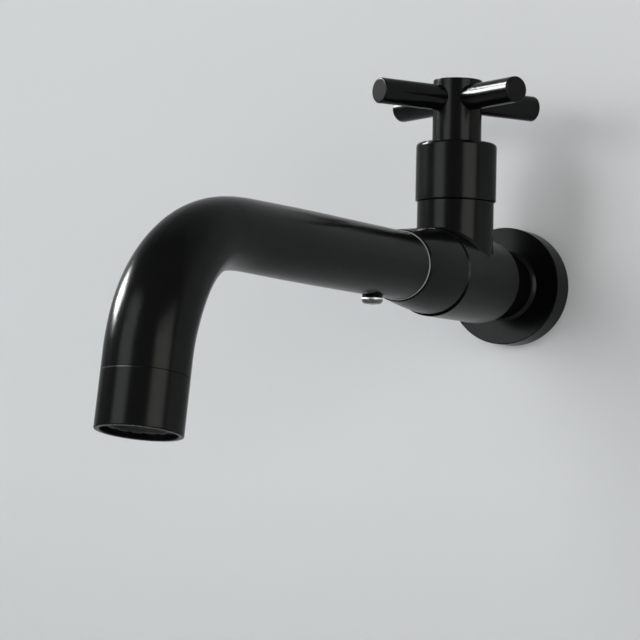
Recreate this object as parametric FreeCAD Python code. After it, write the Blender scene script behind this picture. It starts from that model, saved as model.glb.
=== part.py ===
import FreeCAD, Part
import math
import os

os.makedirs("parts", exist_ok=True)

# Wall-mounted basin tap: a flange on the wall, a tee-shaped valve body with an upright tower,
# a cross handle on a quarter-turn ceramic valve, and a long spout that bends down to an aerator.
# Millimetres. The origin is the centre of the wall face on the inlet's axis. +Z is up and -Y
# points out of the wall. "out" is a distance from the wall, "height" one above the inlet's axis,
# and "rise" one up the spout's last straight length, from the rim of the outlet.

# Outer form
flange_radius = 24.0
flange_front_out = 11.6
flange_flare_radius = 14.4
flange_neck_radius = 12.6
body_rear_out = 36.5
body_rear_radius = 17.0
body_front_out = 87.0
body_front_radius = 16.5
collar_front_out = 116.0
collar_front_radius = 13.5
tower_out = 63.5
tower_radius = 15.0
tower_height = 29.2
shroud_radius = 15.8
shroud_top_height = 52.0
hub_radius = 9.6
hub_top_height = 77.0
arm_radius = 5.0
arm_reach = 37.5
arm_height = 69.5
arm_turn = -30.5
arm_count = 4
washer_rear_out = 116.6
spout_rear_out = 117.2
spout_rear_radius = 12.85
taper_out = 202.0
taper_radius = 12.6
bend_start_out = 232.8
bend_start_radius = 12.15
waist_radius = 12.0
bend_radius = 50.0
bend_angle = 80.0
easing_length = 36.0
flare_start = 26.7
flare_end = 75.6
outlet_radius = 13.8
outlet_drop = 24.0
aerator_height = 18.0
screw_out = 139.0

# Threads, bores and walls
inlet_thread_radius = 10.48
inlet_tail_length = 16.0
inlet_bore_radius = 6.5
valve_bore_radius = 10.5
spout_wall = 1.5
flange_shell = 2.0
flange_step_depth = 2.5
edge = 0.4
play = 0.05
overrun = 1.0

# Inner heights of the valve, from its seat at the inlet's axis upwards
seal_top = 2.4
fixed_disc_bottom = 3.4
disc_thickness = 3.0
moving_disc_bottom = fixed_disc_bottom + disc_thickness
moving_disc_top = moving_disc_bottom + disc_thickness
window_bottom = 10.5
window_top = 15.0
drive_plate_bottom = 15.0
drive_plate_top = 17.2
cavity_top = 17.5
valve_thread_bottom = 19.0
neck_top = 36.2
hex_bottom = 37.0
hex_top = 42.0
guide_top = 46.0
stop_top = 48.0
clip_top = 48.65
hub_bottom = 49.0
spline_bottom = 49.6
stem_top = 60.5
web_bottom = 61.0
web_top = 63.0
cap_seat = 75.0

# Radii inside the valve and the handle
sleeve_radius = 8.9
disc_radius = 7.5
stem_radius = 4.0
neck_radius = 13.6
socket_radius = 6.5
screw_bore_radius = 3.8
cap_radius = 6.9
stud_radius = 2.0
stud_depth = 5.2
tapping_radius = 2.0
clip_groove_radius = 3.5
stop_half_angle = 12.0
stop_spare_angle = 2.0
handle_travel = 90.0
spline_teeth = 20
spline_depth = 0.35
stem_ring_heights = (24.0, 30.0)

# Joint between body, collar and spout
front_spigot_radius = 12.0
front_spigot_out = 99.0
gasket_front_out = 101.0
spigot_radius = 9.6
spigot_front_out = 146.0
spigot_bore_radius = 6.5
spigot_ring_outs = (121.5, 129.5)
ring_groove_radius = 7.9
ring_groove_width = 2.2
screw_groove_radius = 8.2
screw_groove_width = 4.6

# Aerator, by rise above the outlet's rim
aerator_thread_radius = 12.0
aerator_seam_edge = 0.12
shell_bottom = 1.8
shell_top = 10.0
gasket_top = 12.0
comb_bottom = 3.0
comb_thickness = 3.0
insert_radius = 9.95
shell_notches = 16

origin = FreeCAD.Vector(0, 0, 0)
y_axis = FreeCAD.Vector(0, 1, 0)
z_axis = FreeCAD.Vector(0, 0, 1)
outwards = y_axis * -1
down = z_axis * -1
tower_foot = FreeCAD.Vector(0, -tower_out, 0)


def on_inlet(point):
    """A profile point (out, radius) in the plane through the inlet's axis."""
    return FreeCAD.Vector(point[1], -point[0], 0)


def on_upright(point):
    """A profile point (height, radius) in the plane through an upright axis."""
    return FreeCAD.Vector(point[1], 0, point[0])


def closed_profile(points, place):
    """A face from profile points. A point with a third entry is the middle of an arc."""
    ring = list(points) + [points[0]]
    edges = []
    index = 0
    while index < len(ring) - 1:
        start = place(ring[index])
        after = ring[index + 1]
        if len(after) == 3:
            end = place(ring[index + 2])
            edges.append(Part.Arc(start, place(after), end).toShape())
            index += 2
        else:
            edges.append(Part.LineSegment(start, place(after)).toShape())
            index += 1
    return Part.Face(Part.Wire(edges))


def rounded(before, corner, after, radius):
    """Profile points that round the corner between two straight stretches."""
    back = FreeCAD.Vector(before[0] - corner[0], before[1] - corner[1], 0).normalize()
    onward = FreeCAD.Vector(after[0] - corner[0], after[1] - corner[1], 0).normalize()
    half_angle = back.getAngle(onward) / 2
    inward = (back + onward).normalize()
    tip = FreeCAD.Vector(corner[0], corner[1], 0)
    start = tip + back * (radius / math.tan(half_angle))
    end = tip + onward * (radius / math.tan(half_angle))
    middle = tip + inward * (radius / math.sin(half_angle) - radius)
    return [(start.x, start.y), (middle.x, middle.y, "arc"), (end.x, end.y)]


def outward(shape):
    """The single solid of a shape, with its faces pointing outwards."""
    solid = shape.Solids[0]
    if solid.Volume < 0:
        solid.reverse()
    return solid


def turned_on_inlet(points):
    return outward(closed_profile(points, on_inlet).revolve(origin, y_axis, 360))


def turned_upright(points):
    return outward(closed_profile(points, on_upright).revolve(origin, z_axis, 360))


def turned_on_tower(points):
    solid = turned_upright(points)
    solid.translate(tower_foot)
    return solid


def ring_upright(inner, outer, bottom, top):
    return turned_upright([(bottom, inner), (top, inner), (top, outer), (bottom, outer)])


def bar(start, direction, length, radius):
    return Part.makeCylinder(radius, length, start, direction)


def prism(corner_radius, sides, bottom, height):
    """An upright prism with a regular outline about the Z axis."""
    corners = []
    for index in range(sides):
        angle = 2 * math.pi * index / sides
        corner = FreeCAD.Vector(corner_radius * math.cos(angle), corner_radius * math.sin(angle), bottom)
        corners.append(corner)
    outline = Part.makePolygon(corners + [corners[0]])
    return Part.Face(outline).extrude(z_axis * height)


def toothed_prism(tip_radius, root_radius, teeth, bottom, height):
    """An upright prism with fine pointed teeth, as on a splined shaft."""
    corners = []
    for index in range(2 * teeth):
        radius = tip_radius if index % 2 == 0 else root_radius
        angle = math.pi * index / teeth
        corners.append(FreeCAD.Vector(radius * math.cos(angle), radius * math.sin(angle), bottom))
    outline = Part.makePolygon(corners + [corners[0]])
    return Part.Face(outline).extrude(z_axis * height)


def sector(inner, outer, start_angle, end_angle, bottom, top):
    """A piece of an upright ring between two angles in degrees."""
    solid = ring_upright(inner, outer, bottom, top)
    wedge_reach = 4 * outer
    middle = (start_angle + end_angle) / 2
    corners = [FreeCAD.Vector(0, 0, bottom)]
    for angle in (start_angle, middle, end_angle):
        turn = math.radians(angle)
        corners.append(FreeCAD.Vector(wedge_reach * math.cos(turn), wedge_reach * math.sin(turn), bottom))
    wedge = Part.Face(Part.makePolygon(corners + [corners[0]])).extrude(z_axis * (top - bottom))
    return outward(solid.common(wedge))


def round_ring(centre_radius, section_radius, centre, axis):
    return Part.makeTorus(centre_radius, section_radius, centre, axis)


def bend_turn(along):
    """How far the spout has turned, in radians, at a length along its bend, which tightens evenly."""
    eased = min(along, easing_length)
    return (eased * eased / (2 * easing_length) + along - eased) / bend_radius


def spout_point(along):
    """The middle of the spout at a length along its bend."""
    steps = 64
    step = along / steps
    out = bend_start_out
    drop = 0.0
    for index in range(steps):
        turn = bend_turn((index + 0.5) * step)
        out += step * math.cos(turn)
        drop += step * math.sin(turn)
    return FreeCAD.Vector(0, -out, -drop)


def spout_direction(along):
    turn = bend_turn(along)
    return FreeCAD.Vector(0, -math.cos(turn), -math.sin(turn))


bend_length = easing_length / 2 + bend_radius * math.radians(bend_angle)
outlet_down = spout_direction(bend_length)
outlet_centre = spout_point(bend_length) + outlet_down * outlet_drop
outlet_tilt = FreeCAD.Rotation(z_axis, outlet_down * -1)
outlet_place = FreeCAD.Placement(outlet_centre, outlet_tilt)


def at_outlet(solid):
    """Moves a solid made upright about Z so that its base lies at the outlet's rim."""
    placed = solid.copy()
    placed.Placement = outlet_place.multiply(solid.Placement)
    return placed


def run_radius(out):
    """The spout's outer radius on the first, almost even length of its run."""
    share = (out - spout_rear_out) / (taper_out - spout_rear_out)
    return spout_rear_radius + (taper_radius - spout_rear_radius) * share


def flare_radius(along):
    """The spout's outer radius in the bend: the taper eases into a waist, then swells to the outlet."""
    slope = (taper_radius - bend_start_radius) / (bend_start_out - taper_out)
    waist_at = 2 * (bend_start_radius - waist_radius) / slope
    if along < waist_at:
        return waist_radius + (bend_start_radius - waist_radius) * (1 - along / waist_at) ** 2
    share = (along - flare_start) / (flare_end - flare_start)
    share = min(max(share, 0.0), 1.0)
    swell = share * share * (3 - 2 * share)
    return waist_radius + (outlet_radius - waist_radius) * swell


def bend_solid(inset):
    """The flared bend as one loft through circles square to its curve."""
    stations = 18
    circles = []
    for index in range(stations + 1):
        along = bend_length * index / stations
        circle = Part.Circle(spout_point(along), spout_direction(along), flare_radius(along) - inset)
        circles.append(Part.Wire(circle.toShape()))
    return outward(Part.makeLoft(circles, True))


# Pieces that stay still

def make_wall_flange():
    """A hollow round cover; its neck flares from the disc and ends behind the valve body."""
    rim = (flange_front_out, flange_radius)
    flare_foot = (flange_front_out, flange_flare_radius)
    flare_top = (flange_front_out + flange_flare_radius - flange_neck_radius, flange_neck_radius)
    flare_rounding = 3.0
    neck_end = body_rear_out
    bore = inlet_thread_radius + 0.12
    back = flange_front_out - flange_shell
    inside_radius = flange_radius - flange_shell
    step_radius = inside_radius - 1.0
    return turned_on_inlet([
        (0, flange_radius),
        *rounded((0, flange_radius), rim, flare_foot, edge),
        flare_foot,
        *rounded(flare_foot, flare_top, (neck_end, flange_neck_radius), flare_rounding),
        (neck_end - edge, flange_neck_radius),
        (neck_end, flange_neck_radius - edge),
        (neck_end, bore),
        (back, bore),
        (back, step_radius),
        (flange_step_depth, step_radius),
        (flange_step_depth, inside_radius),
        (0, inside_radius),
    ])


def make_flange_gasket():
    """A flat rubber ring that lies in the flange's rear step."""
    outer = flange_radius - flange_shell - 2 * play
    inner = outer - 2.8
    return turned_on_inlet([
        (0, inner),
        (flange_step_depth, inner),
        (flange_step_depth, outer),
        (0, outer),
    ])


def body_outside():
    """The barrel, its threaded tail and front spigot, and the tower that stands on it."""
    tail_chamfer = 0.8
    relief_radius = inlet_thread_radius - 0.28
    rear_rounding = 0.8
    front_chamfer = 1.0
    saddle_rounding = 2.0
    rear_edge = (body_rear_out, body_rear_radius)
    front_edge = (body_front_out, body_front_radius)
    barrel_slope = (body_rear_radius - body_front_radius) / (body_front_out - body_rear_out)
    chamfer_start = (body_front_out - front_chamfer, body_front_radius + front_chamfer * barrel_slope)
    barrel = turned_on_inlet([
        (-inlet_tail_length, 0),
        (-inlet_tail_length, inlet_thread_radius - tail_chamfer),
        (-inlet_tail_length + tail_chamfer, inlet_thread_radius),
        (0, inlet_thread_radius),
        (0, relief_radius),
        (body_rear_out, relief_radius),
        *rounded((body_rear_out, relief_radius), rear_edge, front_edge, rear_rounding),
        chamfer_start,
        (body_front_out, body_front_radius - front_chamfer),
        (body_front_out, front_spigot_radius),
        (front_spigot_out - edge, front_spigot_radius),
        (front_spigot_out, front_spigot_radius - edge),
        (front_spigot_out, 0),
    ])
    tower = turned_on_tower([
        (0, 0),
        (0, tower_radius),
        (tower_height - edge, tower_radius),
        (tower_height, tower_radius - edge),
        (tower_height, neck_radius),
        (neck_top - edge, neck_radius),
        (neck_top, neck_radius - edge),
        (neck_top, 0),
    ])
    joined = barrel.fuse(tower).removeSplitter()
    saddle = []
    for candidate in joined.Edges:
        if not isinstance(candidate.Curve, (Part.Line, Part.Circle)):
            saddle.append(candidate)
    return outward(joined.makeFillet(saddle_rounding, saddle))


def make_valve_body():
    """The tee: water rises from the tail through a seat, and leaves beside the cartridge."""
    inlet_end = 46.0
    lower_passage_start = 40.0
    lower_passage_end = 67.5
    lower_passage_height = -7.5
    lower_passage_radius = 4.8
    riser_radius = 6.0
    riser_bottom = -10.5
    outlet_height = 4.8
    outlet_passage_radius = 4.5
    outlet_passage_end = 82.0
    front_bore_radius = 8.5
    front_bore_out = 79.0
    ring_bottom = 31.5
    ring_width = 2.0
    ring_radius = neck_radius - 0.9

    def drilled(start_out, end_out, height, radius):
        start = FreeCAD.Vector(0, -start_out, height)
        return bar(start, outwards, end_out - start_out, radius)

    groove = ring_upright(ring_radius, neck_radius + overrun, ring_bottom, ring_bottom + ring_width)
    groove.translate(tower_foot)
    cuts = [
        drilled(-inlet_tail_length, inlet_end, 0, inlet_bore_radius),
        drilled(lower_passage_start, lower_passage_end, lower_passage_height, lower_passage_radius),
        bar(tower_foot + z_axis * riser_bottom, z_axis, overrun - riser_bottom, riser_radius),
        bar(tower_foot, z_axis, neck_top + overrun, valve_bore_radius),
        drilled(tower_out, outlet_passage_end, outlet_height, outlet_passage_radius),
        drilled(front_bore_out, front_spigot_out + overrun, 0, front_bore_radius),
        groove,
    ]
    solid = body_outside()
    for cut in cuts:
        solid = solid.cut(cut)
    return outward(solid.removeSplitter())


def make_front_collar():
    """The tapered collar: it screws on the body, and its spigot carries the spout."""
    seam_width = 0.6
    seam_depth = 1.5
    lip_radius = collar_front_radius - 0.9
    seam_radius = body_front_radius - seam_depth
    front_rounding = 0.6
    bulge = 0.3
    rear_edge = (body_front_out + seam_width, body_front_radius - 0.1)
    front_edge = (collar_front_out, collar_front_radius)
    middle = ((rear_edge[0] + front_edge[0]) / 2, (rear_edge[1] + front_edge[1]) / 2 + bulge, "arc")
    rear_corner = rounded((body_front_out + seam_width, seam_radius), rear_edge, middle, edge)
    front_corner = rounded(middle, front_edge, (collar_front_out, lip_radius), front_rounding)
    collar = turned_on_inlet([
        (body_front_out, front_spigot_radius + play),
        (body_front_out, seam_radius),
        (body_front_out + seam_width, seam_radius),
        *rear_corner,
        middle,
        *front_corner,
        (collar_front_out, lip_radius),
        (washer_rear_out, lip_radius),
        (washer_rear_out, spigot_radius),
        (spigot_front_out - edge, spigot_radius),
        (spigot_front_out, spigot_radius - edge),
        (spigot_front_out, spigot_bore_radius),
        (gasket_front_out, spigot_bore_radius),
        (gasket_front_out, front_spigot_radius + play),
    ])
    grooves = []
    for ring_out in spigot_ring_outs:
        grooves.append((ring_out, ring_groove_width, ring_groove_radius))
    grooves.append((screw_out, screw_groove_width, screw_groove_radius))
    for middle, width, radius in grooves:
        near = middle - width / 2
        far = middle + width / 2
        groove = turned_on_inlet([
            (near, radius),
            (far, radius),
            (far, spigot_radius + overrun),
            (near, spigot_radius + overrun),
        ])
        collar = collar.cut(groove)
    return outward(collar)


def make_collar_gasket():
    """A flat ring between the body's front spigot and the collar's shoulder."""
    inner = 8.8
    outer = front_spigot_radius - 0.2
    return turned_on_inlet([
        (front_spigot_out, inner),
        (front_spigot_out, outer),
        (gasket_front_out, outer),
        (gasket_front_out, inner),
    ])


def make_spout_washer():
    """The pale slip ring between the collar and the spout, seen as a thin bright line."""
    inner = spigot_radius + play
    outer = spout_rear_radius + 0.2
    rounding = 0.15
    rear_edge = (washer_rear_out, outer)
    front_edge = (spout_rear_out, outer)
    return turned_on_inlet([
        (washer_rear_out, inner),
        *rounded((washer_rear_out, inner), rear_edge, front_edge, rounding),
        *rounded(rear_edge, front_edge, (spout_rear_out, inner), rounding),
        (spout_rear_out, inner),
    ])


def make_spigot_rings():
    """Two equal O-rings that seal the spout on its spigot."""
    section = 0.88
    rings = []
    for ring_out in spigot_ring_outs:
        rings.append(round_ring(ring_groove_radius + section + 0.02, section,
                                FreeCAD.Vector(0, -ring_out, 0), y_axis))
    return Part.makeCompound(rings)


def make_spout_tube():
    """The spout: a straight run, a flared bend and a short drop with a threaded end."""
    socket = spigot_radius + 2 * play
    socket_end = spigot_front_out + 1.0
    rear_chamfer = 0.15
    taper_rounding = 4000.0
    thread_inner = 9.8
    spot_face_radius = 4.6
    drill_depth = 5.0
    drop_length = outlet_drop - aerator_height
    run = turned_on_inlet([
        (spout_rear_out, 0),
        (spout_rear_out, spout_rear_radius - rear_chamfer),
        (spout_rear_out + rear_chamfer, spout_rear_radius),
        *rounded((spout_rear_out, spout_rear_radius), (taper_out, taper_radius),
                 (bend_start_out, bend_start_radius), taper_rounding),
        (bend_start_out, bend_start_radius),
        (bend_start_out, 0),
    ])
    drop = at_outlet(turned_upright([
        (gasket_top, 0),
        (gasket_top, aerator_thread_radius - edge),
        (gasket_top + edge, aerator_thread_radius),
        (aerator_height, aerator_thread_radius),
        (aerator_height, outlet_radius - aerator_seam_edge),
        (aerator_height + aerator_seam_edge, outlet_radius),
        (aerator_height + drop_length, outlet_radius),
        (aerator_height + drop_length, 0),
    ]))
    outside = run.fuse([bend_solid(0), drop])
    inner_run = turned_on_inlet([
        (spout_rear_out - overrun, 0),
        (spout_rear_out - overrun, socket),
        (socket_end, socket),
        (socket_end, run_radius(socket_end) - spout_wall),
        (taper_out, taper_radius - spout_wall),
        (bend_start_out, bend_start_radius - spout_wall),
        (bend_start_out, 0),
    ])
    inner_drop = at_outlet(turned_upright([
        (gasket_top - overrun, 0),
        (gasket_top - overrun, thread_inner),
        (aerator_height, thread_inner),
        (aerator_height + drop_length, outlet_radius - spout_wall),
        (aerator_height + drop_length, 0),
    ]))
    inside = inner_run.fuse([bend_solid(spout_wall), inner_drop])
    tube = outside.cut(inside)
    seat = FreeCAD.Vector(0, -screw_out, -screw_seat_depth())
    screw_hole = FreeCAD.Vector(0, -screw_out, overrun - socket)
    tube = tube.cut(bar(seat, down, drill_depth, spot_face_radius))
    tube = tube.cut(bar(screw_hole, down, drill_depth, tapping_radius))
    return outward(tube)


def screw_seat_depth():
    """How far under the spout's middle the retaining screw's head seats."""
    spot_face_depth = 0.5
    return run_radius(screw_out) - spot_face_depth


def make_spout_screw():
    """The low round-headed screw under the spout, with a hexagon socket."""
    collar_radius = 3.1
    collar_height = 0.5
    head_radius = 3.9
    head_height = 2.2
    crown = 1.6
    shank_radius = tapping_radius - play
    shank_top = -screw_groove_radius - 0.15
    seat = -screw_seat_depth()
    head_top = seat - collar_height
    bottom = head_top - head_height
    screw = turned_upright([
        (shank_top, 0),
        (shank_top, shank_radius - 0.5),
        (shank_top - 0.5, shank_radius),
        (seat, shank_radius),
        (seat, collar_radius),
        (head_top, collar_radius),
        (head_top, head_radius),
        *rounded((head_top, head_radius), (bottom, head_radius), (bottom, 0), crown),
        (bottom, 0),
    ])
    key_corner_radius = 1.45
    key_depth = 1.2
    screw = screw.cut(prism(key_corner_radius, 6, bottom - overrun, key_depth + overrun))
    screw.translate(FreeCAD.Vector(0, -screw_out, 0))
    return outward(screw)


def make_aerator_housing():
    """The plain sleeve at the end of the spout that holds the aerator."""
    bore = aerator_thread_radius + play
    rim_edge = 0.3
    rim = (0, outlet_radius)
    return at_outlet(turned_upright([
        (0, bore + rim_edge),
        *rounded((0, bore), rim, (aerator_height, outlet_radius), edge),
        (aerator_height - aerator_seam_edge, outlet_radius),
        (aerator_height, outlet_radius - aerator_seam_edge),
        (aerator_height, bore),
        (rim_edge, bore),
    ]))


def make_aerator_shell():
    """The threaded ring of the aerator, notched round its lower rim for a key."""
    inner = insert_radius + play
    ledge = 9.0
    notch_depth = 1.0
    notch_width = 1.6
    notch_inner = 10.4
    notch_length = 4.0
    solid = turned_upright([
        (shell_bottom, ledge),
        (shell_bottom, aerator_thread_radius - edge),
        (shell_bottom + edge, aerator_thread_radius),
        (shell_top, aerator_thread_radius),
        (shell_top, inner),
        (comb_bottom, inner),
        (comb_bottom, ledge),
    ])
    for index in range(shell_notches):
        notch = Part.makeBox(notch_length, notch_width, notch_depth + overrun,
                             FreeCAD.Vector(notch_inner, -notch_width / 2, shell_bottom - overrun))
        notch.rotate(origin, z_axis, 360 * index / shell_notches)
        solid = solid.cut(notch)
    return at_outlet(outward(solid))


def make_aerator_honeycomb():
    """The outlet disc with a honeycomb of hexagonal channels."""
    pitch = 2.6
    cell_corner_radius = 1.25
    rings = 3
    disc = bar(FreeCAD.Vector(0, 0, comb_bottom), z_axis, comb_thickness, insert_radius)
    cells = []
    for column in range(-rings, rings + 1):
        for row in range(-rings, rings + 1):
            if abs(column + row) > rings:
                continue
            cell = prism(cell_corner_radius, 6, comb_bottom - overrun, comb_thickness + 2 * overrun)
            across = FreeCAD.Vector(pitch * math.cos(math.radians(30)) * column,
                                    pitch * (row + column / 2), 0)
            cell.translate(across)
            cells.append(cell)
    return at_outlet(outward(disc.cut(cells)))


def make_aerator_diffuser():
    """The perforated disc above the honeycomb that breaks the water into jets."""
    bottom = comb_bottom + comb_thickness
    step_top = bottom + 1.2
    top = shell_top - 0.4
    rim_inner = 9.0
    jets = 12
    jet_ring_radius = 6.4
    jet_radius = 0.7
    disc = turned_upright([
        (bottom, 0),
        (bottom, insert_radius),
        (top, insert_radius),
        (top, rim_inner),
        (step_top, rim_inner),
        (step_top, 0),
    ])
    holes = []
    for index in range(jets):
        angle = 2 * math.pi * index / jets
        foot = FreeCAD.Vector(jet_ring_radius * math.cos(angle), jet_ring_radius * math.sin(angle),
                              bottom - overrun)
        holes.append(bar(foot, z_axis, top - bottom + 2 * overrun, jet_radius))
    return at_outlet(outward(disc.cut(holes)))


def make_aerator_gasket():
    """The rubber washer between the aerator and the spout's threaded end."""
    inner = 8.6
    outer = aerator_thread_radius - 0.2
    return at_outlet(ring_upright(inner, outer, shell_top, gasket_top))


def make_cartridge_body():
    """The valve's brass housing: a windowed sleeve, a thread, a hexagon and a guide with stops."""
    guide_radius = 7.4
    thread_radius = valve_bore_radius - play
    hex_corner_radius = 12.7
    window_width = 9.0
    stem_bore = stem_radius + play
    solid = turned_upright([
        (seal_top, disc_radius + play),
        (seal_top, sleeve_radius),
        (valve_thread_bottom, sleeve_radius),
        (valve_thread_bottom, thread_radius - edge),
        (valve_thread_bottom + edge, thread_radius),
        (hex_top, thread_radius),
        (hex_top, guide_radius),
        (guide_top, guide_radius),
        (guide_top, stem_bore),
        (cavity_top, stem_bore),
        (cavity_top, disc_radius + play),
    ])
    hexagon = prism(hex_corner_radius, 6, hex_bottom, hex_top - hex_bottom)
    hexagon = hexagon.cut(bar(origin, z_axis, 2 * hex_top, stem_bore))
    solid = solid.fuse(hexagon)
    window = Part.makeBox(window_width, 4 * sleeve_radius, window_top - window_bottom,
                          FreeCAD.Vector(-window_width / 2, -2 * sleeve_radius, window_bottom))
    solid = solid.cut(window)
    tooth_side = stop_half_angle + stop_spare_angle
    wall = sector_wall(guide_radius, tooth_side)
    solid = solid.fuse(wall).removeSplitter()
    solid = outward(solid)
    solid.translate(tower_foot)
    return solid


def sector_wall(outer, tooth_side):
    """The raised arc on the guide that the stop tooth meets at each end of its quarter turn."""
    inner = 5.6
    free_start = -handle_travel - tooth_side
    free_end = tooth_side
    wall = ring_upright(inner, outer, guide_top, stop_top)
    gap = sector(inner - overrun, outer + overrun, free_start, free_end, guide_top - overrun,
                 stop_top + overrun)
    return wall.cut(gap)


def make_cartridge_gasket():
    """A flat ring between the cartridge's hexagon and the top of the tower."""
    solid = ring_upright(valve_bore_radius + 0.1, neck_radius - 1.2, neck_top, hex_bottom)
    solid.translate(tower_foot)
    return solid


def make_seat_seal():
    """The rubber seal under the cartridge, stepped to press on the fixed disc."""
    inner = 6.2
    step_radius = disc_radius - 0.1
    return turned_on_tower([
        (0, inner),
        (0, sleeve_radius - 0.1),
        (seal_top, sleeve_radius - 0.1),
        (seal_top, step_radius),
        (fixed_disc_bottom, step_radius),
        (fixed_disc_bottom, inner),
    ])


def ported_disc(bottom):
    """A ceramic disc with two ports, open along the X axis."""
    port_inner = 1.8
    port_outer = 6.0
    port_half_angle = 41.0
    disc = bar(FreeCAD.Vector(0, 0, bottom), z_axis, disc_thickness, disc_radius)
    for side in (0.0, 180.0):
        port = sector(port_inner, port_outer, side - port_half_angle, side + port_half_angle,
                      bottom - overrun, bottom + disc_thickness + overrun)
        disc = disc.cut(port)
    return disc


def make_fixed_disc():
    disc = outward(ported_disc(fixed_disc_bottom))
    disc.translate(tower_foot)
    return disc


def make_valve_shroud():
    """The sleeve that screws over the tower and hides the cartridge."""
    top_wall = 1.6
    opening = hub_radius + 0.4
    inner = neck_radius + play
    top_rounding = 1.5
    bottom_edge = 0.3
    shoulder = (shroud_top_height, shroud_radius)
    return turned_on_tower([
        (tower_height, inner),
        (tower_height, shroud_radius - bottom_edge),
        (tower_height + bottom_edge, shroud_radius),
        *rounded((tower_height, shroud_radius), shoulder, (shroud_top_height, 0), top_rounding),
        (shroud_top_height, opening),
        (shroud_top_height - top_wall, opening),
        (shroud_top_height - top_wall, inner),
    ])


def make_shroud_ring():
    """The O-ring in the tower's neck that keeps the sleeve from rattling."""
    section = 0.46
    middle_height = 32.5
    return round_ring(neck_radius - section + 0.02, section, tower_foot + z_axis * middle_height, z_axis)


# Pieces that turn with the handle

def make_valve_stem():
    """The spindle: a drive plate with two legs, a round shaft with grooves and a splined top."""
    plate_radius = disc_radius - 0.1
    leg_width = 3.2
    leg_inner = 5.1
    leg_outer = 7.2
    leg_bottom = moving_disc_top - 1.15
    ring_groove = 3.1
    ring_width = 1.9
    tapping_bottom = 50.0
    shaft = turned_upright([
        (drive_plate_bottom, 0),
        (drive_plate_bottom, plate_radius),
        (drive_plate_top, plate_radius),
        (drive_plate_top, stem_radius),
        (stop_top, stem_radius),
        (stop_top, clip_groove_radius),
        (clip_top + play, clip_groove_radius),
        (clip_top + play, stem_radius),
        (spline_bottom, stem_radius),
        (spline_bottom, 0),
    ])
    spline = toothed_prism(stem_radius, stem_radius - spline_depth, spline_teeth, spline_bottom,
                           stem_top - spline_bottom)
    shaft = shaft.fuse(spline)
    for side in (1, -1):
        near = leg_inner if side > 0 else -leg_outer
        leg = Part.makeBox(leg_width, leg_outer - leg_inner, drive_plate_bottom - leg_bottom,
                           FreeCAD.Vector(-leg_width / 2, near, leg_bottom))
        shaft = shaft.fuse(leg)
    for height in stem_ring_heights:
        groove = ring_upright(ring_groove, stem_radius + overrun, height - ring_width / 2,
                              height + ring_width / 2)
        shaft = shaft.cut(groove)
    tapping = bar(z_axis * tapping_bottom, z_axis, stem_top - tapping_bottom + overrun, tapping_radius)
    shaft = shaft.cut(tapping)
    shaft = outward(shaft.removeSplitter())
    shaft.translate(tower_foot)
    return shaft


def make_stem_rings():
    """Two equal O-rings on the spindle."""
    section = 0.46
    rings = []
    for height in stem_ring_heights:
        rings.append(round_ring(stem_radius - section + 0.02, section,
                                tower_foot + z_axis * height, z_axis))
    return Part.makeCompound(rings)


def make_moving_disc():
    """The turning ceramic disc, notched on its rim for the spindle's legs."""
    notch_width = 3.4
    notch_inner = 4.9
    notch_depth = 1.2
    notch_length = disc_radius - notch_inner + overrun
    for_legs = ported_disc(moving_disc_bottom)
    for side in (1, -1):
        near = notch_inner if side > 0 else -notch_inner - notch_length
        corner = FreeCAD.Vector(-notch_width / 2, near, moving_disc_top - notch_depth)
        notch = Part.makeBox(notch_width, notch_length, notch_depth + overrun, corner)
        for_legs = for_legs.cut(notch)
    disc = outward(for_legs)
    disc.translate(tower_foot)
    return disc


def make_stop_collar():
    """The collar on the spindle whose tooth swings between the guide's stops."""
    ring_outer = 5.3
    tooth_outer = 7.1
    bottom = guide_top + 0.2
    collar = ring_upright(stem_radius, ring_outer, bottom, stop_top)
    tooth = sector(stem_radius + 0.5, tooth_outer, -stop_half_angle, stop_half_angle, bottom, stop_top)
    collar = outward(collar.fuse(tooth).removeSplitter())
    collar.translate(tower_foot)
    return collar


def make_stem_clip():
    """The open spring clip that sits in the spindle's groove over the stop collar."""
    outer = 5.2
    gap = 4.4
    clip = ring_upright(clip_groove_radius, outer, stop_top, clip_top)
    opening = Part.makeBox(outer + overrun, gap, clip_top - stop_top + 2 * overrun,
                           FreeCAD.Vector(0, -gap / 2, stop_top - overrun))
    clip = outward(clip.cut(opening))
    clip.translate(tower_foot)
    return clip


def make_handle_bush():
    """The splined insert between the spindle and the hub."""
    bottom = hub_bottom + 1.0
    bush = bar(FreeCAD.Vector(0, 0, bottom), z_axis, web_bottom - bottom, socket_radius)
    hollow = toothed_prism(stem_radius + play, stem_radius - spline_depth + play, spline_teeth,
                           bottom - overrun, web_bottom - bottom + 2 * overrun)
    bush = outward(bush.cut(hollow))
    bush.translate(tower_foot)
    return bush


def arm_direction(index):
    turn = math.radians(arm_turn + 360 * index / arm_count)
    return FreeCAD.Vector(math.cos(turn), math.sin(turn), 0)


def make_handle_hub():
    """The upright barrel of the cross, bored for the bush, its screw, the studs and the cap."""
    top_rounding = 0.3
    bottom_edge = 0.3
    screw_clearance = tapping_radius + 0.2
    shoulder = (hub_top_height, hub_radius)
    hub = turned_on_tower([
        (hub_bottom, socket_radius),
        (hub_bottom, hub_radius - bottom_edge),
        (hub_bottom + bottom_edge, hub_radius),
        *rounded((hub_bottom, hub_radius), shoulder, (hub_top_height, 0), top_rounding),
        (hub_top_height, cap_radius + play),
        (cap_seat, cap_radius + play),
        (cap_seat, screw_bore_radius),
        (web_top, screw_bore_radius),
        (web_top, screw_clearance),
        (web_bottom, screw_clearance),
        (web_bottom, socket_radius),
    ])
    middle = tower_foot + z_axis * arm_height
    for index in range(arm_count):
        direction = arm_direction(index)
        hub = hub.cut(bar(middle + direction * stud_depth, direction, hub_radius, stud_radius))
    return outward(hub)


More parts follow.
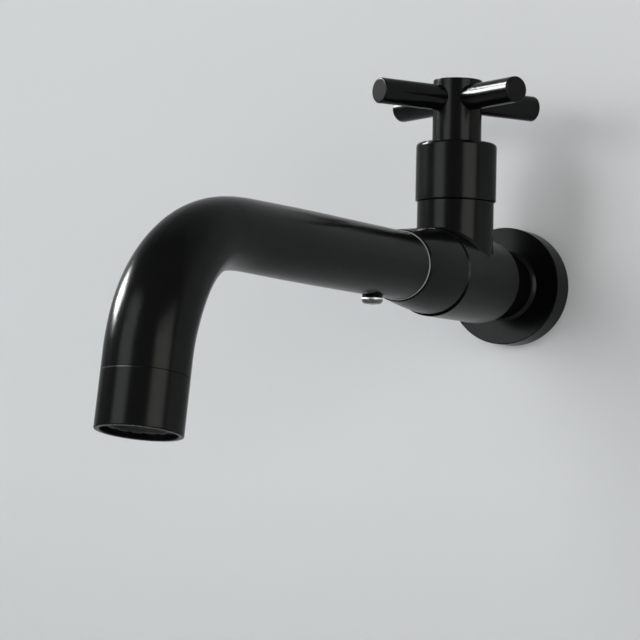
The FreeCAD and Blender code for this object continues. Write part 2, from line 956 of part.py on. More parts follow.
def make_handle_arm(index):
    """One round arm, coped to the hub, with the stud that screws into it."""
    tip_rounding = 0.6
    tip = (arm_reach, arm_radius)
    arm = turned_upright([
        (stud_depth, 0),
        (stud_depth, arm_radius),
        *rounded((stud_depth, arm_radius), tip, (arm_reach, 0), tip_rounding),
        (arm_reach, 0),
    ])
    stud = bar(z_axis * stud_depth, z_axis, hub_radius, stud_radius)
    lie_down = FreeCAD.Rotation(z_axis, arm_direction(index))
    middle = tower_foot + z_axis * arm_height
    place = FreeCAD.Placement(middle, lie_down)
    arm.Placement = place.multiply(arm.Placement)
    stud.Placement = place.multiply(stud.Placement)
    hub_form = bar(tower_foot, z_axis, 2 * hub_top_height, hub_radius)
    arm = arm.cut(hub_form)
    return outward(arm.fuse(stud).removeSplitter())


def make_handle_screw():
    """The socket-head screw that holds the hub on the spindle."""
    head_radius = 3.5
    head_top = web_top + 3.6
    shank_bottom = 52.0
    shank_radius = tapping_radius - play
    key_corner_radius = 1.73
    key_depth = 2.0
    screw = turned_upright([
        (shank_bottom, 0),
        (shank_bottom, shank_radius),
        (web_top, shank_radius),
        (web_top, head_radius),
        (head_top - edge, head_radius),
        (head_top, head_radius - edge),
        (head_top, 0),
    ])
    screw = outward(screw.cut(prism(key_corner_radius, 6, head_top - key_depth, key_depth + overrun)))
    screw.translate(tower_foot)
    return screw


def make_handle_cap():
    """The plain round cap pressed into the top of the hub."""
    plug_bottom = cap_seat - 2.5
    return turned_on_tower([
        (plug_bottom, 0),
        (plug_bottom, screw_bore_radius - play - edge),
        (plug_bottom + edge, screw_bore_radius - play),
        (cap_seat, screw_bore_radius - play),
        (cap_seat, cap_radius),
        (hub_top_height - edge, cap_radius),
        (hub_top_height, cap_radius - edge),
        (hub_top_height, 0),
    ])


def make_all():
    """Every piece of the tap by the name of its node."""
    pieces = {
        "wall_flange": make_wall_flange(),
        "flange_gasket": make_flange_gasket(),
        "valve_body": make_valve_body(),
        "front_collar": make_front_collar(),
        "collar_gasket": make_collar_gasket(),
        "spout_washer": make_spout_washer(),
        "spigot_rings": make_spigot_rings(),
        "spout_tube": make_spout_tube(),
        "spout_screw": make_spout_screw(),
        "aerator_housing": make_aerator_housing(),
        "aerator_shell": make_aerator_shell(),
        "aerator_honeycomb": make_aerator_honeycomb(),
        "aerator_diffuser": make_aerator_diffuser(),
        "aerator_gasket": make_aerator_gasket(),
        "cartridge_body": make_cartridge_body(),
        "cartridge_gasket": make_cartridge_gasket(),
        "seat_seal": make_seat_seal(),
        "fixed_disc": make_fixed_disc(),
        "valve_shroud": make_valve_shroud(),
        "shroud_ring": make_shroud_ring(),
        "valve_stem": make_valve_stem(),
        "stem_rings": make_stem_rings(),
        "moving_disc": make_moving_disc(),
        "stop_collar": make_stop_collar(),
        "stem_clip": make_stem_clip(),
        "handle_bush": make_handle_bush(),
        "handle_hub": make_handle_hub(),
        "handle_screw": make_handle_screw(),
        "handle_cap": make_handle_cap(),
    }
    for index in range(arm_count):
        pieces["handle_arm_" + str(index + 1)] = make_handle_arm(index)
    return pieces


for name, shape in make_all().items():
    shape.exportStep("parts/" + name + ".step")
    print(name, "solids", len(shape.Solids), "valid", shape.isValid(), "volume", round(shape.Volume, 1))
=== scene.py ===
import math

import bmesh
import bpy
from mathutils import Matrix, Vector


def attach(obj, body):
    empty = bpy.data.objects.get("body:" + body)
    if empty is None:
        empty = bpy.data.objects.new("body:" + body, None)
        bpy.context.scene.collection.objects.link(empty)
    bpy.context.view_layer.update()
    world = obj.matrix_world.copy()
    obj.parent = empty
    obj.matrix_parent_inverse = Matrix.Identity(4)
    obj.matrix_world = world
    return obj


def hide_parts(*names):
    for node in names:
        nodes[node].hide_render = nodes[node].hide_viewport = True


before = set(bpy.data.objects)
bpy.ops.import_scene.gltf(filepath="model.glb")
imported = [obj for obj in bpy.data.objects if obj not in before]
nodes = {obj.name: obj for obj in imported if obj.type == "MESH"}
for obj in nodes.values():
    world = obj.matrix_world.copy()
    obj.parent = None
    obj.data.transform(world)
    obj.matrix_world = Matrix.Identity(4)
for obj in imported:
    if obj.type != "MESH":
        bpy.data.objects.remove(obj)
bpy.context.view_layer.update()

# Wall-mounted basin tap. Everything is in metres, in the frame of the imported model: the origin is
# the centre of the wall face, +Z is up and -Y points out of the wall.
millimetre = 0.001
hair = 0.05 * millimetre

# Camera at the photograph's view
camera_place = Vector((0.37410, -0.94477, -0.07248))
camera_yaw = -0.45582
camera_pitch = 0.05657
camera_roll = 0.02292
focal_pixels = 2450.0
image_pixels = 640.0
sensor_width = 36.0
nearest_sight = 0.01
farthest_sight = 50.0

# Backdrop: its shape, its paint at each height, darker towards the wall's foot and above the tap as
# painted shade, and the glow that only sight and mirrors see
wall_gap = 0.2 * millimetre
wall_hole_radius = 23.7 * millimetre
wall_hole_sides = 96
wall_top = 2.6
floor_height = -0.30
floor_front = 6.0
cove_radius = 0.12
cove_steps = 16
backdrop_half_width = 4.0
floor_colour = (0.60, 0.61, 0.62)
cove_colour = (0.75, 0.76, 0.77)
cove_colour_height = -0.179
wall_colour = (0.84, 0.85, 0.86)
wall_colour_foot = -0.08
wall_colour_top = 0.22
wall_shade = (0.52, 0.53, 0.54)
wall_shade_foot = 0.52
backdrop_glow = (0.68, 0.70, 0.71)
backdrop_glow_share = 0.1

# Lamps and world
tap_middle = Vector((0.0, -0.12, 0.02))
cross_middle = Vector((0.0, -0.0635, 0.0695))
white = (1.0, 1.0, 1.0)
bluish_white = (0.97, 1.0, 1.0)
yellowish_white = (1.0, 0.99, 0.93)
key_spread = math.radians(120)
high_pane_spread = math.radians(38)
world_colour = (0.97, 0.99, 1.0)
world_strength = 0.2

# Most of a noise's values lie between these
noise_low = 0.3
noise_high = 0.7

# How wide one band of the wave texture is at scale 1
unscaled_wave = math.pi / 10.0

# Black plating: how metallic it is, and what it mirrors at a slant
coat_metallic = 0.85
coat_slant_tint = (0.66, 0.66, 0.66)

# Valve body: its ends, its bare inside, and its lower front edge, which stands proud of the collar
body_front = -87.0 * millimetre
body_rear = -36.5 * millimetre
tower_place = -63.5 * millimetre
bare_radius = 13.9 * millimetre
coated_at_front = 1.8 * millimetre
coated_at_rear = 0.9 * millimetre
lip_inner_radius = 16.0 * millimetre
lip_growth = 0.6 * millimetre

# Seam between body and collar: painted shade in the groove, dark and not metallic, narrow above, wide
# below and gone at mid height
seam_middle = body_front + 0.5 * millimetre
seam_shade_colour = (0.004, 0.004, 0.004)
seam_shade_blend = 0.15 * millimetre
narrow_reach = 0.45 * millimetre
narrow_height = -2.0 * millimetre
wide_reach = 1.25 * millimetre
wide_height = -15.0 * millimetre
lower_seam_shade_full = -9.0 * millimetre
lower_seam_shade_end = -5.0 * millimetre
upper_seam_shade_start = 4.0 * millimetre
upper_seam_shade_full = 9.0 * millimetre
upper_seam_shade_share = 0.7

# The G 1/2 thread of the body's tail. Its section is in shares of the pitch.
tail_start = -0.5 * millimetre
tail_length = 16.0 * millimetre
thread_crest = 10.48 * millimetre
thread_root = 9.32 * millimetre
thread_pitch = 1.814 * millimetre
thread_first = 0.7 * millimetre
thread_last = tail_length - 0.9 * millimetre
thread_steps_in_turn = 64
runout_turns = 0.6
least_ridge_share = 0.02
half_crest = 0.12
half_foot = 0.48
half_root = 0.49
root_overlap = 0.3 * millimetre

# Outlet sleeve: the middle of its rim, how steeply its axis rises, and the pale painted highlight on the
# left of its rear edge
outlet_middle = Vector((0.0, -304.13, -66.03)) * millimetre
outlet_rise = math.radians(80.0)
sleeve_length = 18.0 * millimetre
highlight_width = 0.3 * millimetre
highlight_blend = 0.1 * millimetre
highlight_colour = (0.22, 0.22, 0.21)
fully_lit_left = -8.0 * millimetre
unlit_right = 7.0 * millimetre

# Spout screw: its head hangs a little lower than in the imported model, on a taller and wider collar
screw_axis = -139.0 * millimetre
screw_collar_radius = 3.1 * millimetre
screw_collar_growth = 1.2
screw_collar_middle = -12.5 * millimetre
packed_head_top = -12.79 * millimetre
screw_drop = 1.0 * millimetre
screw_head_top = packed_head_top - screw_drop
# Height of the painted highlight round the top of the head, and the blend of it and of the collar's
# painted shade
screw_highlight_height = 0.5 * millimetre
screw_painted_light_blend = 0.06 * millimetre


def make_camera():
    """The camera as the photograph was taken: a long lens, a little below the spout."""
    forward = Vector((
        math.sin(camera_yaw) * math.cos(camera_pitch),
        math.cos(camera_yaw) * math.cos(camera_pitch),
        math.sin(camera_pitch),
    ))
    level_right = Vector((math.cos(camera_yaw), -math.sin(camera_yaw), 0.0))
    level_up = level_right.cross(forward)
    right = math.cos(camera_roll) * level_right + math.sin(camera_roll) * level_up
    up = math.cos(camera_roll) * level_up - math.sin(camera_roll) * level_right
    turn = Matrix((right, up, -forward)).transposed().to_4x4()
    data = bpy.data.cameras.new("photo_camera")
    data.sensor_width = sensor_width
    data.lens = focal_pixels / image_pixels * sensor_width
    data.clip_start = nearest_sight
    data.clip_end = farthest_sight
    camera = bpy.data.objects.new("photo_camera", data)
    camera.matrix_world = Matrix.Translation(camera_place) @ turn
    bpy.context.scene.collection.objects.link(camera)
    bpy.context.scene.camera = camera


class Tree:
    """A material or a lamp being built from shader nodes."""

    def __init__(self, owner, output_kind):
        self.owner = owner
        owner.use_nodes = True
        self.nodes = owner.node_tree.nodes
        self.links = owner.node_tree.links
        self.nodes.clear()
        self.output = self.add(output_kind)
        self.place = None

    def add(self, kind, **settings):
        node = self.nodes.new(kind)
        for key, value in settings.items():
            setattr(node, key, value)
        return node

    def join(self, source, target):
        self.links.new(source, target)

    def show(self, shader):
        """Makes a shader the one that the material or the lamp shows."""
        self.join(shader, self.output.inputs["Surface"])

    def surface(self, colour, roughness, normal=None, **constants):
        """Shows a surface of this colour, roughness and bump, with other settings as plain numbers."""
        shader = self.add("ShaderNodeBsdfPrincipled")
        for key, value in constants.items():
            shader.inputs[key.replace("_", " ")].default_value = value
        self.join(colour, shader.inputs["Base Color"])
        self.join(roughness, shader.inputs["Roughness"])
        if normal is not None:
            self.join(normal, shader.inputs["Normal"])
        self.show(shader.outputs["BSDF"])
        return shader

    def along(self, axis):
        """How far along X, Y or Z the place lies."""
        split = self.add("ShaderNodeSeparateXYZ")
        self.join(self.place, split.inputs["Vector"])
        return split.outputs[axis]

    def count(self, operation, *values):
        """The result of one calculation. Each value is a number or another node's output."""
        node = self.add("ShaderNodeMath", operation=operation)
        for socket, value in zip(node.inputs, values):
            if isinstance(value, float):
                socket.default_value = value
            else:
                self.join(value, socket)
        return node.outputs["Value"]

    def noise(self, size, detail=2.0):
        """Noise whose lumps are about size metres across."""
        node = self.add("ShaderNodeTexNoise")
        node.inputs["Scale"].default_value = 1.0 / size
        node.inputs["Detail"].default_value = detail
        self.join(self.place, node.inputs["Vector"])
        return node.outputs["Fac"]

    def rings(self, axis, pitch, distortion):
        """Fine parallel marks of a lathe, square to an axis."""
        node = self.add("ShaderNodeTexWave", wave_type="BANDS", bands_direction=axis)
        node.inputs["Scale"].default_value = unscaled_wave / pitch
        node.inputs["Distortion"].default_value = distortion
        self.join(self.place, node.inputs["Vector"])
        return node.outputs["Fac"]

    def spread(self, source, low, high, from_low=noise_low, from_high=noise_high):
        """A number from low to high that follows source."""
        node = self.add("ShaderNodeMapRange")
        node.inputs["From Min"].default_value = from_low
        node.inputs["From Max"].default_value = from_high
        node.inputs["To Min"].default_value = low
        node.inputs["To Max"].default_value = high
        self.join(source, node.inputs["Value"])
        return node.outputs["Result"]

    def colours(self, source, *stops):
        """A colour ramp of (position, colour) stops that follows source."""
        node = self.add("ShaderNodeValToRGB")
        ramp = node.color_ramp
        while len(ramp.elements) < len(stops):
            ramp.elements.new(0.5)
        for element, (position, colour) in zip(ramp.elements, stops):
            element.position = position
            element.color = (*colour, 1.0)
        self.join(source, node.inputs["Fac"])
        return node.outputs["Color"]

    def tint(self, share, under, over):
        """The colour under, where share is 0, and the plain colour over, where it is 1."""
        node = self.add("ShaderNodeMix", data_type="RGBA")
        self.join(share, node.inputs["Factor"])
        self.join(under, node.inputs["A"])
        node.inputs["B"].default_value = (*over, 1.0)
        return node.outputs["Result"]

    def blend(self, share, first, second):
        """The first shader, where share is 0, and the second, where it is 1."""
        node = self.add("ShaderNodeMixShader")
        self.join(share, node.inputs["Fac"])
        self.join(first, node.inputs[1])
        self.join(second, node.inputs[2])
        return node.outputs["Shader"]

    def bump(self, height, distance):
        node = self.add("ShaderNodeBump")
        node.inputs["Distance"].default_value = distance
        self.join(height, node.inputs["Height"])
        return node.outputs["Normal"]


def new_material(name):
    tree = Tree(bpy.data.materials.new(name), "ShaderNodeOutputMaterial")
    tree.place = tree.add("ShaderNodeTexCoord").outputs["Object"]
    return tree


def coat_colour(tree):
    """The cloudy black of the plating, and the clouds."""
    darker = (0.0180, 0.0184, 0.0184)
    lighter = (0.0200, 0.0203, 0.0200)
    cloud = tree.noise(18 * millimetre, detail=3.0)
    return tree.colours(cloud, (noise_low, darker), (noise_high, lighter)), cloud


def coat_surface(tree, colour, cloud):
    """Nearly black plating with a very fine orange peel."""
    peel_size = 0.5 * millimetre
    peel_depth = 0.0015 * millimetre
    peel = tree.bump(tree.noise(peel_size), peel_depth)
    return tree.surface(colour, tree.spread(cloud, 0.19, 0.215), peel, Metallic=coat_metallic,
                        Specular_IOR_Level=0.0, Specular_Tint=(*coat_slant_tint, 1.0))


def satin_black_coat():
    """Satin black plated coat."""
    tree = new_material("satin_black_coat")
    colour, cloud = coat_colour(tree)
    coat_surface(tree, colour, cloud)
    return tree.owner


def seam_shaded_black_coat():
    """The coat on both sides of the body's seam, with painted shade in the groove above and, wider,
    below.
    """
    tree = new_material("seam_shaded_black_coat")
    colour, cloud = coat_colour(tree)
    height = tree.along("Z")
    distance = tree.count("ABSOLUTE", tree.count("SUBTRACT", tree.along("Y"), seam_middle))
    reach = tree.spread(height, wide_reach, narrow_reach, wide_height, narrow_height)
    inside = tree.count("SUBTRACT", reach, distance)
    near = tree.spread(inside, 0.0, 1.0, 0.0, seam_shade_blend)
    below = tree.spread(height, 1.0, 0.0, lower_seam_shade_full, lower_seam_shade_end)
    above = tree.spread(height, 0.0, upper_seam_shade_share, upper_seam_shade_start, upper_seam_shade_full)
    seam_shade = tree.count("MULTIPLY", near, tree.count("MAXIMUM", below, above))
    shader = coat_surface(tree, tree.tint(seam_shade, colour, seam_shade_colour), cloud)
    tree.join(tree.spread(seam_shade, coat_metallic, 0.0, 0.0, 1.0), shader.inputs["Metallic"])
    return tree.owner


def edge_highlight_coat():
    """The coat on the outlet sleeve, with a pale painted highlight along its rear edge on its left."""
    tree = new_material("edge_highlight_coat")
    colour, cloud = coat_colour(tree)
    upward = Vector((0.0, math.cos(outlet_rise), math.sin(outlet_rise)))
    product = tree.add("ShaderNodeVectorMath", operation="DOT_PRODUCT")
    product.inputs[1].default_value = upward
    tree.join(tree.place, product.inputs[0])
    edge_foot = outlet_middle.dot(upward) + sleeve_length - highlight_width
    edge_highlight = tree.spread(product.outputs["Value"], 0.0, 1.0, edge_foot - highlight_blend, edge_foot)
    left = tree.spread(tree.along("X"), 1.0, 0.0, fully_lit_left, unlit_right)
    coat_surface(tree, tree.tint(tree.count("MULTIPLY", edge_highlight, left), colour, highlight_colour), cloud)
    return tree.owner


def turned_brass(name, axis):
    """Bare machined brass with lathe marks round an axis and a slight tarnish."""
    tarnished = (0.53, 0.36, 0.13)
    bare = (0.72, 0.51, 0.22)
    brightest = (0.78, 0.58, 0.28)
    mark_pitch = 0.28 * millimetre
    mark_depth = 0.012 * millimetre
    tree = new_material(name)
    tarnish = tree.noise(6 * millimetre, detail=5.0)
    marks = tree.rings(axis, mark_pitch, distortion=0.6)
    colour = tree.colours(tarnish, (0.3, tarnished), (0.6, bare), (0.8, brightest))
    tree.surface(colour, tree.spread(tarnish, 0.36, 0.22), tree.bump(marks, mark_depth), Metallic=1.0)
    return tree.owner


def turned_steel(name, tint, low_roughness, high_roughness):
    """Stainless steel with faint turning marks and fine scratches."""
    mark_pitch = 0.16 * millimetre
    mark_depth = 0.004 * millimetre
    darkening = 0.82
    darker = tuple(part * darkening for part in tint)
    tree = new_material(name)
    smear = tree.noise(2.5 * millimetre, detail=4.0)
    marks = tree.rings("Z", mark_pitch, distortion=0.4)
    colour = tree.colours(smear, (noise_low, darker), (noise_high, tint))
    roughness = tree.spread(smear, low_roughness, high_roughness)
    tree.surface(colour, roughness, tree.bump(marks, mark_depth), Metallic=1.0)
    return tree.owner


def screw_steel():
    """Smoked steel with a painted highlight round the top of the head and painted shade in black on its
    collar.
    """
    darker = (0.14, 0.14, 0.145)
    lighter = (0.20, 0.20, 0.205)
    highlight_white = (0.95, 0.95, 0.95)
    shade_black = (0.006, 0.006, 0.006)
    edge_foot = screw_head_top - screw_highlight_height
    tree = new_material("screw_steel")
    height = tree.along("Z")
    edge_highlight = tree.spread(height, 0.0, 1.0, edge_foot - screw_painted_light_blend, edge_foot)
    collar_shade = tree.spread(height, 0.0, 1.0, screw_head_top, screw_head_top + screw_painted_light_blend)
    smear = tree.noise(2.5 * millimetre, detail=4.0)
    smoked = tree.colours(smear, (noise_low, darker), (noise_high, lighter))
    colour = tree.tint(collar_shade, tree.tint(edge_highlight, smoked, highlight_white), shade_black)
    tree.surface(colour, tree.spread(edge_highlight, 0.14, 0.5, 0.0, 1.0), Metallic=1.0)
    return tree.owner


def lapped_ceramic():
    """Alumina ground flat: off-white with a faint grain."""
    darker = (0.78, 0.76, 0.70)
    lighter = (0.84, 0.83, 0.78)
    grain_depth = 0.003 * millimetre
    tree = new_material("lapped_ceramic")
    grain = tree.noise(0.25 * millimetre, detail=4.0)
    cloud = tree.noise(4 * millimetre)
    colour = tree.colours(cloud, (noise_low, darker), (noise_high, lighter))
    tree.surface(colour, tree.spread(grain, 0.16, 0.34), tree.bump(grain, grain_depth), IOR=1.7)
    return tree.owner


def seal_rubber():
    """Black seal rubber: matt, with a mould's fine grain and a greyish bloom."""
    clean = (0.017, 0.017, 0.018)
    bloomed = (0.034, 0.034, 0.035)
    grain_depth = 0.01 * millimetre
    tree = new_material("seal_rubber")
    bloom = tree.noise(3 * millimetre, detail=5.0)
    grain = tree.noise(0.2 * millimetre)
    colour = tree.colours(bloom, (0.35, clean), (0.75, bloomed))
    tree.surface(colour, tree.spread(bloom, 0.55, 0.78), tree.bump(grain, grain_depth), IOR=1.5)
    return tree.owner


def moulded_plastic(name, darker, lighter, low_roughness, high_roughness):
    """Moulded plastic with the fine texture of its mould."""
    grain_depth = 0.006 * millimetre
    tree = new_material(name)
    flow = tree.noise(5 * millimetre, detail=3.0)
    grain = tree.noise(0.3 * millimetre)
    colour = tree.colours(flow, (noise_low, darker), (noise_high, lighter))
    roughness = tree.spread(flow, low_roughness, high_roughness)
    tree.surface(colour, roughness, tree.bump(grain, grain_depth), IOR=1.48)
    return tree.owner


def backdrop_material():
    """Pale matt paint with a little even glow of its own, which only sight and mirrors see.

    The back of the backdrop lets light and sight through."""
    tree = new_material("pale_backdrop")
    paint = tree.add("ShaderNodeBsdfDiffuse")
    painted_height = wall_shade_foot - floor_height
    # The wall's paint darkens towards its foot and above the tap as painted shade
    paints = [(floor_height, floor_colour), (cove_colour_height, cove_colour),
              (wall_colour_foot, wall_colour), (wall_colour_top, wall_colour),
              (wall_shade_foot, wall_shade)]
    stops = [((height - floor_height) / painted_height, colour) for height, colour in paints]
    up = tree.spread(tree.along("Z"), 0.0, 1.0, floor_height, wall_shade_foot)
    tree.join(tree.colours(up, *stops), paint.inputs["Color"])
    glow = tree.add("ShaderNodeEmission")
    glow.inputs["Color"].default_value = (*backdrop_glow, 1.0)
    path = tree.add("ShaderNodeLightPath")
    mirrored = tree.count("MAXIMUM", path.outputs["Is Camera Ray"], path.outputs["Is Glossy Ray"])
    seen = tree.count("MAXIMUM", mirrored, path.outputs["Is Transmission Ray"])
    glow_share = tree.spread(seen, 0.0, backdrop_glow_share, 0.0, 1.0)
    front = tree.blend(glow_share, paint.outputs["BSDF"], glow.outputs["Emission"])
    through = tree.add("ShaderNodeBsdfTransparent").outputs["BSDF"]
    from_behind = tree.add("ShaderNodeNewGeometry").outputs["Backfacing"]
    tree.show(tree.blend(from_behind, front, through))
    return tree.owner


def make_backdrop():
    """Floor, cove and wall as one sheet, with a round hole in the wall behind the flange."""
    mesh = bmesh.new()
    wall_foot = floor_height + cove_radius
    half_square = -wall_foot
    hole = []
    square = []
    for index in range(wall_hole_sides):
        angle = 2 * math.pi * index / wall_hole_sides
        across = math.cos(angle)
        up = math.sin(angle)
        reach = half_square / max(abs(across), abs(up))
        hole.append(mesh.verts.new((wall_hole_radius * across, wall_gap, wall_hole_radius * up)))
        square.append(mesh.verts.new((reach * across, wall_gap, reach * up)))
    for index in range(wall_hole_sides):
        after = (index + 1) % wall_hole_sides
        mesh.faces.new((hole[index], hole[after], square[after], square[index]))

    def panel(left, right, low, high):
        corners = [(left, low), (right, low), (right, high), (left, high)]
        mesh.faces.new([mesh.verts.new((x, wall_gap, z)) for x, z in corners])

    panel(-backdrop_half_width, backdrop_half_width, half_square, wall_top)
    panel(-backdrop_half_width, -half_square, wall_foot, half_square)
    panel(half_square, backdrop_half_width, wall_foot, half_square)
    profile = []
    for step in range(cove_steps + 1):
        angle = math.pi / 2 * step / cove_steps
        profile.append((wall_gap - cove_radius * (1 - math.cos(angle)),
                        wall_foot - cove_radius * math.sin(angle)))
    profile.append((-floor_front, floor_height))
    left_side = [mesh.verts.new((-backdrop_half_width, y, z)) for y, z in profile]
    right_side = [mesh.verts.new((backdrop_half_width, y, z)) for y, z in profile]
    for index in range(len(profile) - 1):
        face = mesh.faces.new((left_side[index], left_side[index + 1],
                               right_side[index + 1], right_side[index]))
        face.smooth = True
    mesh.normal_update()
    tiny = 0.001
    for face in mesh.faces:
        if face.normal.y > tiny or face.normal.z < -tiny:
            face.normal_flip()
    data = bpy.data.meshes.new("backdrop")
    mesh.to_mesh(data)
    mesh.free()
    data.materials.append(backdrop_material())
    backdrop = bpy.data.objects.new("backdrop", data)
    bpy.context.scene.collection.objects.link(backdrop)


def towards(azimuth, elevation):
    """The direction at an angle round the tap. Azimuth 0 is straight out of the wall."""
    turn = math.radians(azimuth)
    rise = math.radians(elevation)
    return Vector((math.sin(turn) * math.cos(rise), -math.cos(turn) * math.cos(rise), math.sin(rise)))


def faded(tree, position, share):
    """1 over most of a lamp, falling smoothly to 0 over a share of it at both ends."""
    middle = 0.5
    from_middle = tree.count("ABSOLUTE", tree.count("SUBTRACT", position, middle))
    fall = tree.add("ShaderNodeMapRange", interpolation_type="SMOOTHSTEP")
    fall.inputs["From Min"].default_value = middle
    fall.inputs["From Max"].default_value = middle - share
    tree.join(from_middle, fall.inputs["Value"])
    return fall.outputs["Result"]


def soft_box(name, azimuth, elevation, distance, width, height, fade, radiance,
             colour=white, target=tap_middle):
    """A rectangular lamp that faces the tap, bright in its middle and soft at its edges."""
    data = bpy.data.lights.new(name, "AREA")
    data.shape = "RECTANGLE"
    data.size = width
    data.size_y = height
    data.energy = radiance * math.pi * width * height
    data.color = colour
    tree = Tree(data, "ShaderNodeOutputLight")
    tree.place = tree.add("ShaderNodeNewGeometry").outputs["Parametric"]
    share = tree.count("MULTIPLY", faded(tree, tree.along("X"), fade / width),
                       faded(tree, tree.along("Y"), fade / height))
    lamp = tree.add("ShaderNodeEmission")
    tree.join(share, lamp.inputs["Strength"])
    tree.show(lamp.outputs["Emission"])
    box = bpy.data.objects.new(name, data)
    away = towards(azimuth, elevation)
    box.location = target + away * distance
    box.rotation_mode = "QUATERNION"
    box.rotation_quaternion = away.to_track_quat("Z", "Y")
    box.visible_camera = False
    bpy.context.scene.collection.objects.link(box)
    return box


def make_lights():
    """Two wide soft boxes, a key that draws the shadow, and two bright panes for the metal to mirror."""
    soft_box("left_box", azimuth=-27, elevation=12, distance=1.6, width=1.25, height=2.2,
             fade=0.35, radiance=2.0, colour=bluish_white)
    soft_box("right_box", azimuth=64, elevation=6, distance=1.6, width=1.45, height=1.4,
             fade=0.35, radiance=1.85, colour=yellowish_white)
    key = soft_box("key", azimuth=-15, elevation=5, distance=2.0, width=0.7, height=0.7,
                   fade=0.25, radiance=4.9)
    key.data.spread = key_spread
    key.visible_glossy = False
    low_pane = soft_box("low_pane", azimuth=-86, elevation=23, distance=1.04, width=0.42, height=0.30,
                        fade=0.06, radiance=80.0)
    high_pane = soft_box("high_pane", azimuth=-92, elevation=36.5, distance=0.5, width=0.08, height=0.05,
                         fade=0.012, radiance=16.0, target=cross_middle)
    high_pane.data.spread = high_pane_spread
    for pane in (low_pane, high_pane):
        pane.visible_diffuse = False


def make_world():
    """An even pale room."""
    world = bpy.data.worlds.new("studio")
    world.use_nodes = True
    background = world.node_tree.nodes["Background"]
    background.inputs["Color"].default_value = (*world_colour, 1.0)
    background.inputs["Strength"].default_value = world_strength
    bpy.context.scene.world = world


def body_finish(middle):
    """Which finish a face of the body has: 0 the coat, 1 bare brass."""
    from_inlet = math.hypot(middle.x, middle.z)
    from_tower = math.hypot(middle.x, middle.y - tower_place)
    if middle.y > body_rear + hair or middle.y < body_front - hair:
        return 1
    if middle.y > body_rear - coated_at_rear or middle.y < body_front + coated_at_front:
        return 0
    if middle.z < bare_radius:
        return 1 if from_inlet < bare_radius else 0
    return 1 if from_tower < bare_radius else 0


def body_growth(place):
    """How much a point of the body moves away from the inlet's axis, as a factor."""
    radius = math.hypot(place.x, place.z)
    if place.y > tail_start and radius > thread_root:
        return thread_root / radius
    if body_front < place.y < body_rear and radius > lip_inner_radius:
        below = max(0.0, -place.z / radius)
        share = (body_rear - place.y) / (body_rear - body_front)
        return 1.0 + lip_growth * share * below * below / radius
    return 1.0


def dress_valve_body(coat, brass):
    """The body with bare brass inside, a tail cut down to the thread's root, and a lip below."""
    data = nodes["valve_body"].data.copy()
    data.name = "valve_body_finished"
    data.materials.clear()
    data.materials.append(coat)
    data.materials.append(brass)
    for point in data.vertices:
        growth = body_growth(point.co)
        point.co.x *= growth
        point.co.z *= growth
    for face in data.polygons:
        face.material_index = body_finish(face.center)
    body = bpy.data.objects.new("valve_body_finished", data)
    bpy.context.scene.collection.objects.link(body)
    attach(body, "tap")
    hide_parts("valve_body")


def thread_points():
    """Points and faces of one helical ridge round the tail, which runs out at both ends."""
    turns = (thread_last - thread_first) / thread_pitch
    steps = int(turns * thread_steps_in_turn)
    ridge_depth = thread_crest - thread_root
    section = [(-half_root, -root_overlap), (-half_foot, 0.0), (-half_crest, ridge_depth),
               (half_crest, ridge_depth), (half_foot, 0.0), (half_root, -root_overlap)]
    points = []
    faces = []
    for step in range(steps + 1):
        turn = step / thread_steps_in_turn
        ridge_share = max(min(turn, turns - turn, runout_turns) / runout_turns, least_ridge_share)
        angle = 2 * math.pi * turn
        for along, out in section:
            radius = thread_root + (out * ridge_share if out > 0 else out)
            y = thread_first + thread_pitch * (turn + along)
            points.append((radius * math.cos(angle), y, radius * math.sin(angle)))
    sides = len(section)
    for step in range(steps):
        for side in range(sides):
            here = step * sides + side
            beside = step * sides + (side + 1) % sides
            faces.append((here, beside, beside + sides, here + sides))
    faces.append(tuple(range(sides)))
    faces.append(tuple(reversed(range(steps * sides, steps * sides + sides))))
    return points, [], faces


def make_inlet_thread(brass):
    """The cut thread of the body's tail."""
    data = bpy.data.meshes.new("inlet_thread")
    data.from_pydata(*thread_points())
    data.materials.append(brass)
    thread = bpy.data.objects.new("inlet_thread", data)
    bpy.context.scene.collection.objects.link(thread)
    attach(thread, "tap")


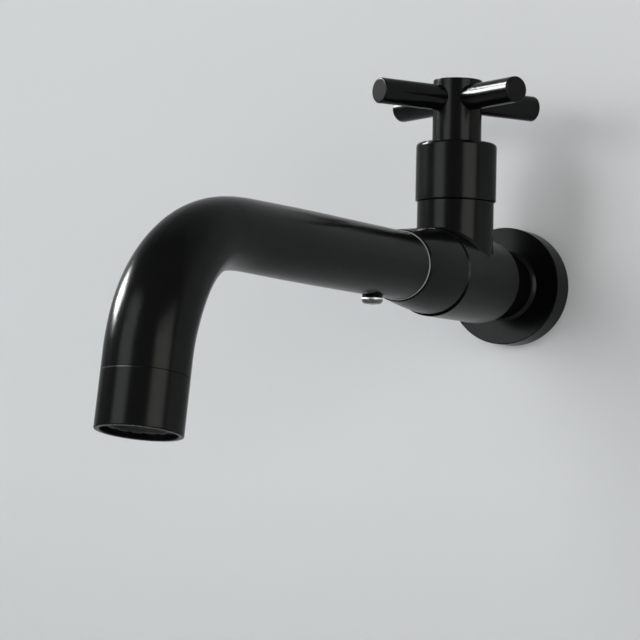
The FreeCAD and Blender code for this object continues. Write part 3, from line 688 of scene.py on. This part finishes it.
def dress_spout_screw():
    """The spout screw with a taller and wider collar, so that its head hangs lower."""
    data = nodes["spout_screw"].data.copy()
    data.name = "spout_screw_finished"
    data.materials.clear()
    data.materials.append(screw_steel())
    for point in data.vertices:
        radius = math.hypot(point.co.x, point.co.y - screw_axis)
        above_head = point.co.z > packed_head_top - hair
        if above_head and abs(radius - screw_collar_radius) < hair:
            point.co.x *= screw_collar_growth
            point.co.y = screw_axis + (point.co.y - screw_axis) * screw_collar_growth
        if point.co.z < screw_collar_middle:
            point.co.z -= screw_drop
    screw = bpy.data.objects.new("spout_screw_finished", data)
    bpy.context.scene.collection.objects.link(screw)
    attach(screw, "tap")
    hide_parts("spout_screw")


def give_finish(node_name, material):
    """Gives one CAD node a finish of its own."""
    for slot in nodes[node_name].material_slots:
        slot.material = material


def finish_nodes():
    """Gives every CAD node its finish."""
    by_slot = {
        "black_finish": satin_black_coat(),
        "brass": turned_brass("turned_brass_upright", "Z"),
        "polished_steel": turned_steel("polished_screw_steel", tint=(0.78, 0.78, 0.79),
                                       low_roughness=0.12, high_roughness=0.22),
        "spring_steel": turned_steel("spring_steel", tint=(0.55, 0.55, 0.56),
                                     low_roughness=0.24, high_roughness=0.36),
        "alumina": lapped_ceramic(),
        "rubber": seal_rubber(),
        "aerator_plastic": moulded_plastic("aerator_plastic", darker=(0.06, 0.06, 0.062),
                                           lighter=(0.08, 0.08, 0.082),
                                           low_roughness=0.3, high_roughness=0.42),
        "nylon": moulded_plastic("grey_nylon", darker=(0.40, 0.40, 0.38),
                                 lighter=(0.50, 0.50, 0.48),
                                 low_roughness=0.36, high_roughness=0.5),
    }
    for node in nodes.values():
        for slot in node.material_slots:
            slot.material = by_slot[slot.material.name.split(".")[0]]
    # The body and collar share a coat with painted shade in the groove of their seam
    seam_shaded_coat = seam_shaded_black_coat()
    brass_tail = turned_brass("turned_brass_tail", "Y")
    give_finish("front_collar", seam_shaded_coat)
    # The outlet sleeve's coat has a painted highlight along its rear edge, on its left
    give_finish("aerator_housing", edge_highlight_coat())
    dress_valve_body(seam_shaded_coat, brass_tail)
    make_inlet_thread(brass_tail)
    dress_spout_screw()


make_camera()
make_backdrop()
make_lights()
make_world()
finish_nodes()

scene = bpy.context.scene
scene.view_settings.view_transform = "Standard"

bpy.context.view_layer.update()
